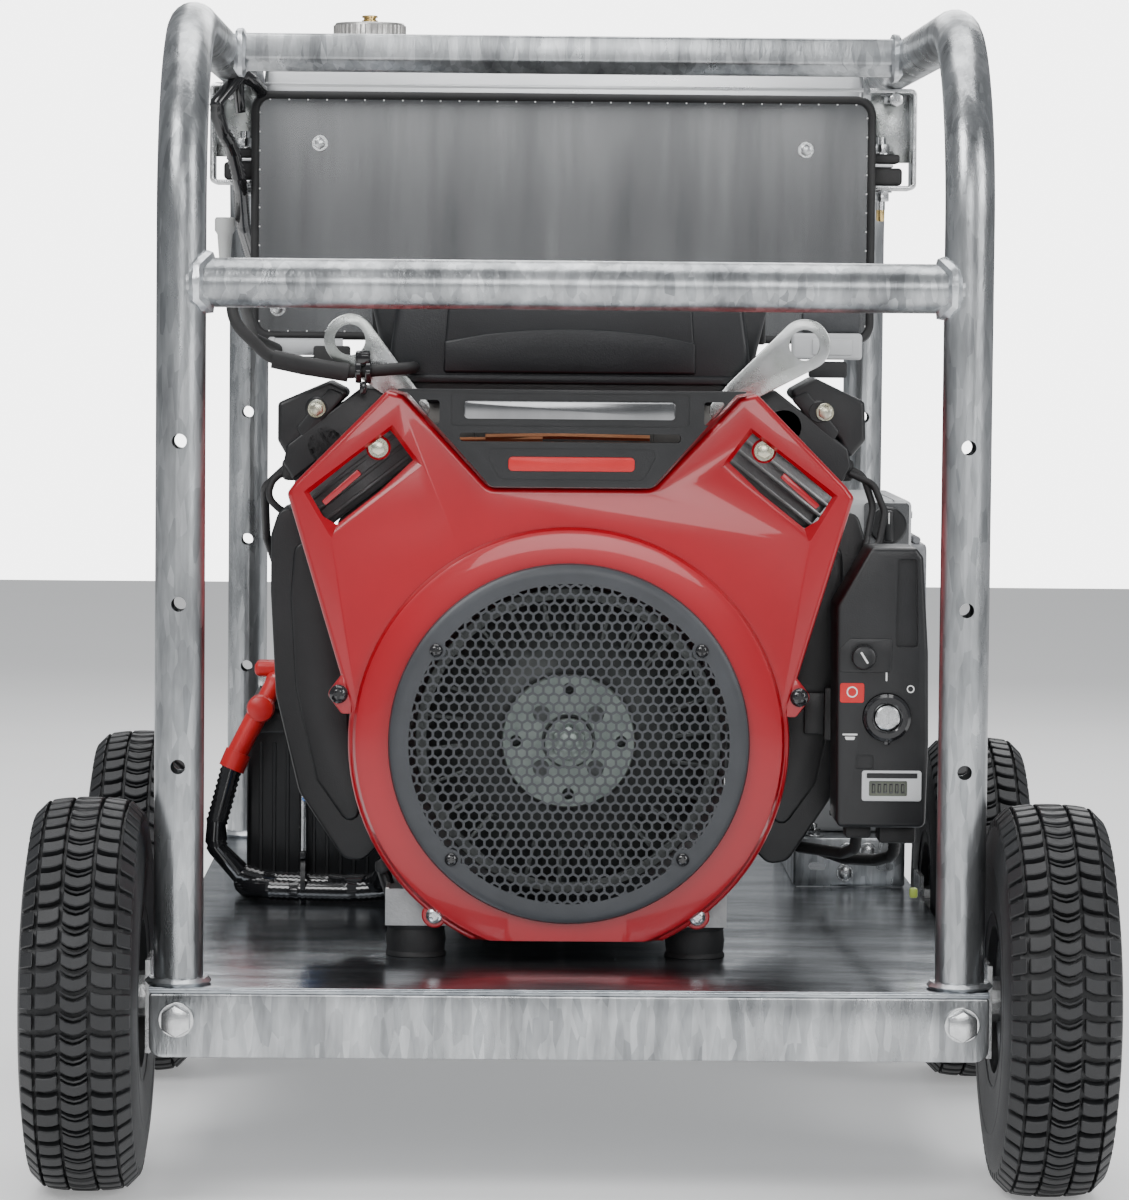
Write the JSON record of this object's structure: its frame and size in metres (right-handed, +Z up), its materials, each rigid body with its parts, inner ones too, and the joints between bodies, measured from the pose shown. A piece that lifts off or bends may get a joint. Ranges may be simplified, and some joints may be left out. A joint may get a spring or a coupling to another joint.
{
  "type": "portable generator",
  "caption": "Portable generator: air-cooled V-twin engine driving an alternator on a galvanised tube frame with four wheels, overhead fuel tank, battery and outlet box.",
  "frame": {"origin": "on the ground under the middle of the whole object's box", "axes": "+X to the object's right seen from the engine's fan side, +Y from the fan side back to the alternator, +Z up"},
  "size_m": [0.733, 1.063, 0.8393],
  "materials": {
    "galvanised_steel": "hot-dip galvanised, mottled",
    "bright_steel": "zinc plated",
    "stainless_sheet": "polished stainless sheet",
    "red_enamel": "glossy enamel",
    "black_plastic": "satin moulded plastic",
    "grey_plastic": "light grey moulded plastic",
    "cast_aluminium": "as cast",
    "dark_aluminium": "painted casting",
    "dark_steel": "blackened steel",
    "machined_steel": "machined",
    "blue_enamel": "glossy enamel",
    "black_rubber": "moulded rubber",
    "tyre_rubber": "tread rubber"
  },
  "bodies": {
    "frame": {"deck_plate": "galvanised_steel", "front_beam": "galvanised_steel", "rear_beam": "galvanised_steel", "left_hoop": "galvanised_steel", "right_hoop": "galvanised_steel", "front_mid_rail": "galvanised_steel", "rear_mid_rail": "galvanised_steel", "top_front_rail": "galvanised_steel", "panel_bracket": "galvanised_steel", "front_left_axle": "bright_steel", "front_right_axle": "bright_steel", "rear_left_axle": "bright_steel", "rear_right_axle": "bright_steel", "left_lifting_eye": "bright_steel", "right_lifting_eye": "bright_steel", "left_tank_bracket": "bright_steel", "right_tank_bracket": "bright_steel", "engine_block": "cast_aluminium", "left_cylinder": "cast_aluminium", "right_cylinder": "cast_aluminium", "fan_shroud": "red_enamel", "fan_grille": "black_plastic", "left_rocker_cover": "black_plastic", "right_rocker_cover": "black_plastic", "left_side_shroud": "black_plastic", "right_side_shroud": "black_plastic", "name_panel": "black_plastic", "air_cleaner_cover": "black_plastic", "control_box": "black_plastic", "battery": "black_plastic", "battery_conduit": "black_plastic", "alternator_case": "dark_aluminium", "alternator_end_bell": "dark_aluminium", "muffler": "dark_steel", "oil_filter": "blue_enamel", "front_left_mount": "black_rubber", "front_right_mount": "black_rubber", "alternator_pad": "black_rubber", "fuel_hose": "black_rubber", "socket_box": "grey_plastic", "fuel_tank": "stainless_sheet", "filler_neck": "stainless_sheet", "heat_shield": "stainless_sheet"},
    "engine_rotor": {"flywheel_fan": "dark_aluminium", "rotor_shaft": "machined_steel"},
    "choke": {"choke_knob": "black_plastic"},
    "key": {"key_switch": "bright_steel"},
    "cap_seal": {"cap_gasket": "black_rubber"},
    "cap": {"fuel_cap": "cast_aluminium"},
    "outlet_cover": {"socket_cover": "grey_plastic"},
    "breaker": {"breaker_switch": "black_plastic"},
    "front_left_wheel": {"front_left_tyre": "tyre_rubber", "front_left_rim": "galvanised_steel"},
    "front_right_wheel": {"front_right_tyre": "tyre_rubber", "front_right_rim": "galvanised_steel"},
    "rear_left_wheel": {"rear_left_tyre": "tyre_rubber", "rear_left_rim": "galvanised_steel"},
    "rear_right_wheel": {"rear_right_tyre": "tyre_rubber", "rear_right_rim": "galvanised_steel"}
  },
  "joints": [
    {"name": "front_left_wheel_spin", "type": "hinge", "parent": "frame", "child": "front_left_wheel", "pos_m": [-0.327, -0.3975, 0.134], "axis": [1, 0, 0], "continuous": true},
    {"name": "front_right_wheel_spin", "type": "hinge", "parent": "frame", "child": "front_right_wheel", "pos_m": [0.327, -0.3975, 0.134], "axis": [1, 0, 0], "continuous": true},
    {"name": "rear_left_wheel_spin", "type": "hinge", "parent": "frame", "child": "rear_left_wheel", "pos_m": [-0.327, 0.1285, 0.134], "axis": [1, 0, 0], "continuous": true},
    {"name": "rear_right_wheel_spin", "type": "hinge", "parent": "frame", "child": "rear_right_wheel", "pos_m": [0.327, 0.1285, 0.134], "axis": [1, 0, 0], "continuous": true},
    {"name": "engine_turn", "type": "hinge", "parent": "frame", "child": "engine_rotor", "pos_m": [0, -0.2715, 0.3], "axis": [0, 1, 0], "continuous": true},
    {"name": "choke_pull", "type": "slide", "parent": "frame", "child": "choke", "axis": [0, -1, 0], "range_m": [0, 0.02]},
    {"name": "key_turn", "type": "hinge", "parent": "frame", "child": "key", "pos_m": [0.2235, -0.2955, 0.3185], "axis": [0, 1, 0], "range_deg": [0, 90]},
    {"name": "cap_lift", "type": "slide", "parent": "frame", "child": "cap_seal", "axis": [0, 0, 1], "range_m": [0, 0.06]},
    {"name": "cap_turn", "type": "hinge", "parent": "cap_seal", "child": "cap", "pos_m": [-0.157, 0.2795, 0.83], "axis": [0, 0, 1], "range_deg": [0, 90]},
    {"name": "outlet_cover_flip", "type": "hinge", "parent": "frame", "child": "outlet_cover", "pos_m": [0.2913, 0.2915, 0.418], "axis": [0, -1, 0], "range_deg": [0, 120]},
    {"name": "breaker_turn", "type": "hinge", "parent": "frame", "child": "breaker", "pos_m": [0.262, 0.2015, 0.432], "axis": [0, 1, 0], "range_deg": [0, 90]}
  ]
}
